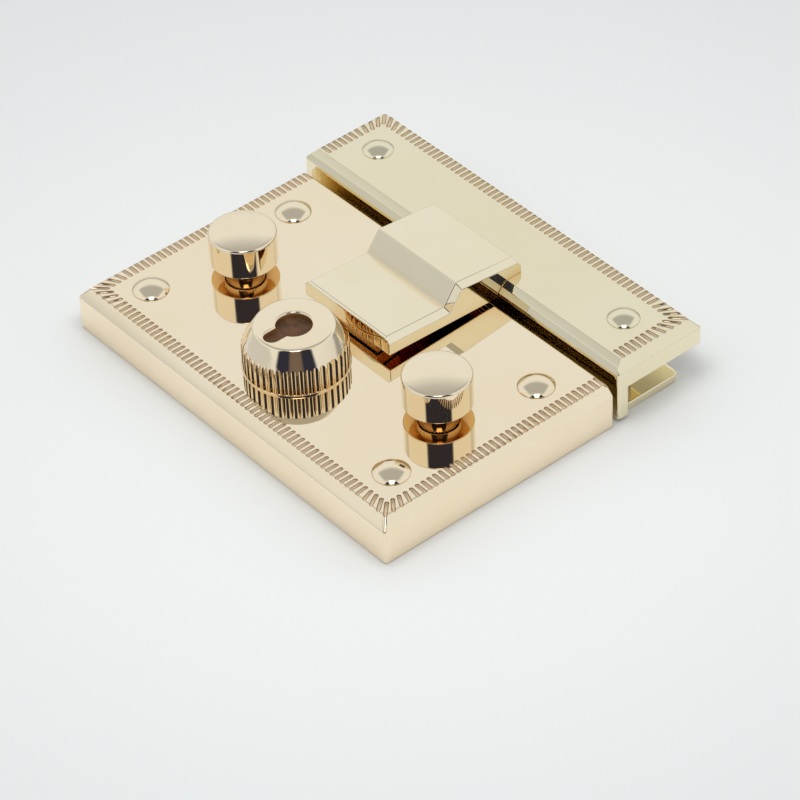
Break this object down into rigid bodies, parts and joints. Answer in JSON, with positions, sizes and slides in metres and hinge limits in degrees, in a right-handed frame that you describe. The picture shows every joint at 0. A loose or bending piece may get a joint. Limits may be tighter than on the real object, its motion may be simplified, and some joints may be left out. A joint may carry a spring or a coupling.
{
  "type": "bag push lock",
  "caption": "Polished gold bag lock: a tray plate with push buttons and a knurled keyhole cap, and a flap plate whose stepped hasp snaps onto a hidden catch spring.",
  "frame": {"origin": "middle of the whole lock's footprint, on the back plane that lies against the bag", "axes": "+X along the plates, +Y from the lock plate towards the flap plate, +Z out of the front faces"},
  "size_m": [0.05, 0.0426, 0.0105],
  "materials": {
    "gold": "mirror-polished pale gold plating on cast metal",
    "steel": "plain bright steel"
  },
  "bodies": {
    "lock": {"lock_plate": "gold", "lock_plate_rivets": "gold", "back_plate": "steel", "back_plate_screws": "steel", "left_button_spring": "steel", "right_button_spring": "steel", "catch_spring": "steel", "lock_cap": "gold", "cap_washer": "steel", "cap_screw": "steel"},
    "left_push": {"left_button": "gold", "left_button_clip": "steel"},
    "right_push": {"right_button": "gold", "right_button_clip": "steel"},
    "flap": {"flap_plate": "gold", "flap_rivets": "gold", "hasp": "gold", "catch_tongue": "steel", "backing_plate": "gold", "backing_screws": "steel"}
  },
  "joints": [
    {"name": "left_press", "type": "slide", "parent": "lock", "child": "left_push", "axis": [0, 0, -1], "range_m": [0, 0.001], "stiffness_N_per_m": 600, "springref_m": -0.001, "deforming": ["left_button_spring", "catch_spring"]},
    {"name": "right_press", "type": "slide", "parent": "lock", "child": "right_push", "axis": [0, 0, -1], "range_m": [0, 0.001], "stiffness_N_per_m": 600, "springref_m": -0.001, "deforming": ["right_button_spring", "catch_spring"]},
    {"name": "flap_lift", "type": "slide", "parent": "lock", "child": "flap", "axis": [0, 0, 1], "range_m": [0, 0.012], "deforming": ["catch_spring"]}
  ]
}
